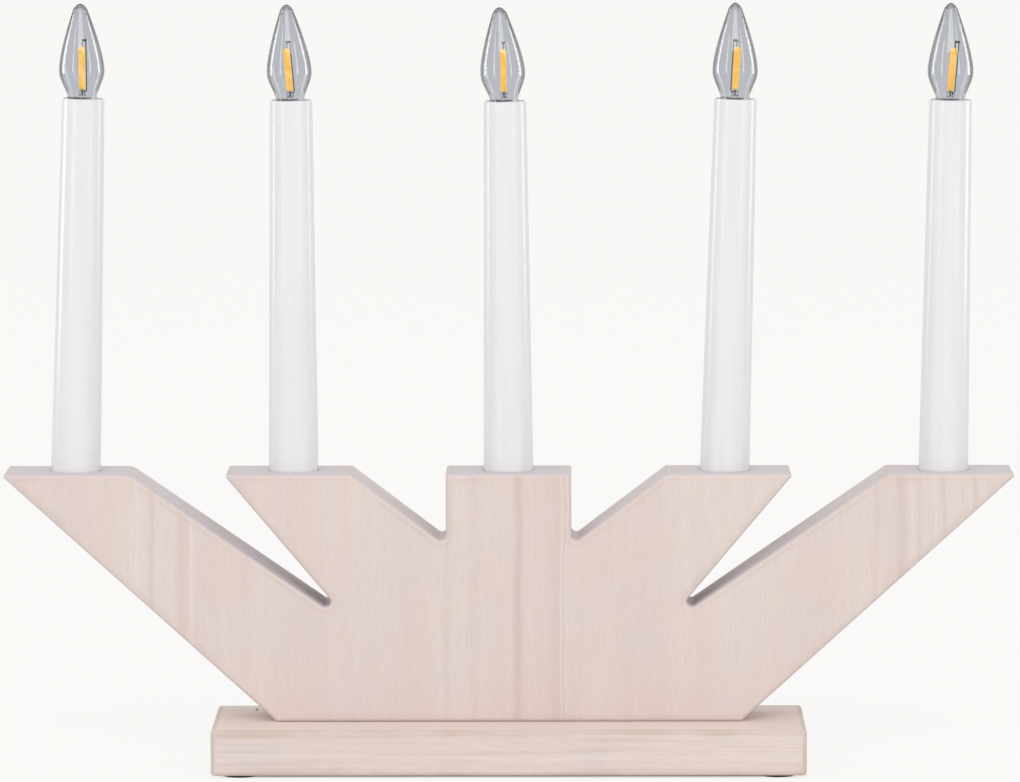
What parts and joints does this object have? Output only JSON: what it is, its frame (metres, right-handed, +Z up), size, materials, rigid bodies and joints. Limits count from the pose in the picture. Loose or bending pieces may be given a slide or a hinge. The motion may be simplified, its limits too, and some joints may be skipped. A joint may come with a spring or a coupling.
{
  "type": "electric candlestick",
  "caption": "Fan-shaped wooden window candlestick: thick arm board on a flat base, white candle tubes and small screw-in filament lamps.",
  "frame": {"origin": "middle of the footprint, on the surface that the foot pads stand on", "axes": "+X to the right along the arm board, +Y to the back, +Z up; the front faces -Y"},
  "size_m": [0.354, 0.06, 0.2688],
  "materials": {
    "limed_pine": "pine with a thin pinkish white wash, matt, edges lightly eased",
    "hardboard": "brown hardboard, matt",
    "white_plastic": "white moulded plastic, glossy",
    "holder_plastic": "white moulded plastic, satin",
    "wire_insulation": "white wire insulation, soft sheen",
    "clear_glass": "clear thin blown glass",
    "nickel_cap": "nickel-plated screw cap",
    "solder": "dull tin solder",
    "brass": "plain stamped brass",
    "amber_filament": "amber coating on a thin stick, with a glass stem and steel wires",
    "zinc_steel": "zinc-plated screws",
    "black_pad": "thin black non-slip pad"
  },
  "bodies": {
    "root": {"wood_panel": "limed_pine", "base_board": "limed_pine", "base_cover": "hardboard", "foot_pad_front_left": "black_pad", "foot_pad_front_right": "black_pad", "foot_pad_rear_left": "black_pad", "foot_pad_rear_right": "black_pad", "panel_screw_left": "zinc_steel", "panel_screw_right": "zinc_steel", "cover_screw_left": "zinc_steel", "cover_screw_right": "zinc_steel", "terminal_block": "white_plastic", "cord_inlet_bush": "white_plastic", "feed_wire_left": "wire_insulation", "jumper_wire_1_2": "wire_insulation", "jumper_wire_2_3": "wire_insulation", "jumper_wire_3_4": "wire_insulation", "jumper_wire_4_5": "wire_insulation", "feed_wire_right": "wire_insulation", "candle_tube_1": "white_plastic", "candle_tube_2": "white_plastic", "candle_tube_3": "white_plastic", "candle_tube_4": "white_plastic", "candle_tube_5": "white_plastic", "lamp_holder_1": "holder_plastic", "lamp_holder_2": "holder_plastic", "lamp_holder_3": "holder_plastic", "lamp_holder_4": "holder_plastic", "lamp_holder_5": "holder_plastic", "socket_shell_1": "brass", "socket_shell_2": "brass", "socket_shell_3": "brass", "socket_shell_4": "brass", "socket_shell_5": "brass", "centre_contact_1": "brass", "centre_contact_2": "brass", "centre_contact_3": "brass", "centre_contact_4": "brass", "centre_contact_5": "brass"},
    "bulb_tip_body_1": {"bulb_tip_1": "solder"},
    "bulb_body_1": {"bulb_cap_1": "nickel_cap", "bulb_glass_1": "clear_glass", "filament_mount_1": "amber_filament"},
    "bulb_tip_body_2": {"bulb_tip_2": "solder"},
    "bulb_body_2": {"bulb_cap_2": "nickel_cap", "bulb_glass_2": "clear_glass", "filament_mount_2": "amber_filament"},
    "bulb_tip_body_3": {"bulb_tip_3": "solder"},
    "bulb_body_3": {"bulb_cap_3": "nickel_cap", "bulb_glass_3": "clear_glass", "filament_mount_3": "amber_filament"},
    "bulb_tip_body_4": {"bulb_tip_4": "solder"},
    "bulb_body_4": {"bulb_cap_4": "nickel_cap", "bulb_glass_4": "clear_glass", "filament_mount_4": "amber_filament"},
    "bulb_tip_body_5": {"bulb_tip_5": "solder"},
    "bulb_body_5": {"bulb_cap_5": "nickel_cap", "bulb_glass_5": "clear_glass", "filament_mount_5": "amber_filament"}
  },
  "joints": [
    {"name": "bulb_1_lift", "type": "slide", "parent": "root", "child": "bulb_tip_body_1", "axis": [-0.0175, 0, 0.9998], "range_m": [0, 0.00454]},
    {"name": "bulb_1_turn", "type": "hinge", "parent": "bulb_tip_body_1", "child": "bulb_body_1", "pos_m": [-0.1489, 0.0045, 0.22968], "axis": [-0.0175, 0, 0.9998], "range_deg": [0, 900]},
    {"name": "bulb_2_lift", "type": "slide", "parent": "root", "child": "bulb_tip_body_2", "axis": [-0.0384, 0, 0.9993], "range_m": [0, 0.00454]},
    {"name": "bulb_2_turn", "type": "hinge", "parent": "bulb_tip_body_2", "child": "bulb_body_2", "pos_m": [-0.07594, 0.0045, 0.22893], "axis": [-0.0384, 0, 0.9993], "range_deg": [0, 900]},
    {"name": "bulb_3_lift", "type": "slide", "parent": "root", "child": "bulb_tip_body_3", "axis": [-0.0523, 0, 0.9986], "range_m": [0, 0.00454]},
    {"name": "bulb_3_turn", "type": "hinge", "parent": "bulb_tip_body_3", "child": "bulb_body_3", "pos_m": [-0.00094, 0.0045, 0.22853], "axis": [-0.0523, 0, 0.9986], "range_deg": [0, 900]},
    {"name": "bulb_4_lift", "type": "slide", "parent": "root", "child": "bulb_tip_body_4", "axis": [0.0017, 0, 1], "range_m": [0, 0.00454]},
    {"name": "bulb_4_turn", "type": "hinge", "parent": "bulb_tip_body_4", "child": "bulb_body_4", "pos_m": [0.07949, 0.0045, 0.22918], "axis": [0.0017, 0, 1], "range_deg": [0, 900]},
    {"name": "bulb_5_lift", "type": "slide", "parent": "root", "child": "bulb_tip_body_5", "axis": [0.0017, 0, 1], "range_m": [0, 0.00454]},
    {"name": "bulb_5_turn", "type": "hinge", "parent": "bulb_tip_body_5", "child": "bulb_body_5", "pos_m": [0.15482, 0.0045, 0.22872], "axis": [0.0017, 0, 1], "range_deg": [0, 900]}
  ],
  "couplings": [
    {"joint": "bulb_1_lift", "follows": "bulb_1_turn", "m_per_rad": 0.00028871},
    {"joint": "bulb_2_lift", "follows": "bulb_2_turn", "m_per_rad": 0.00028871},
    {"joint": "bulb_3_lift", "follows": "bulb_3_turn", "m_per_rad": 0.00028871},
    {"joint": "bulb_4_lift", "follows": "bulb_4_turn", "m_per_rad": 0.00028871},
    {"joint": "bulb_5_lift", "follows": "bulb_5_turn", "m_per_rad": 0.00028871}
  ]
}
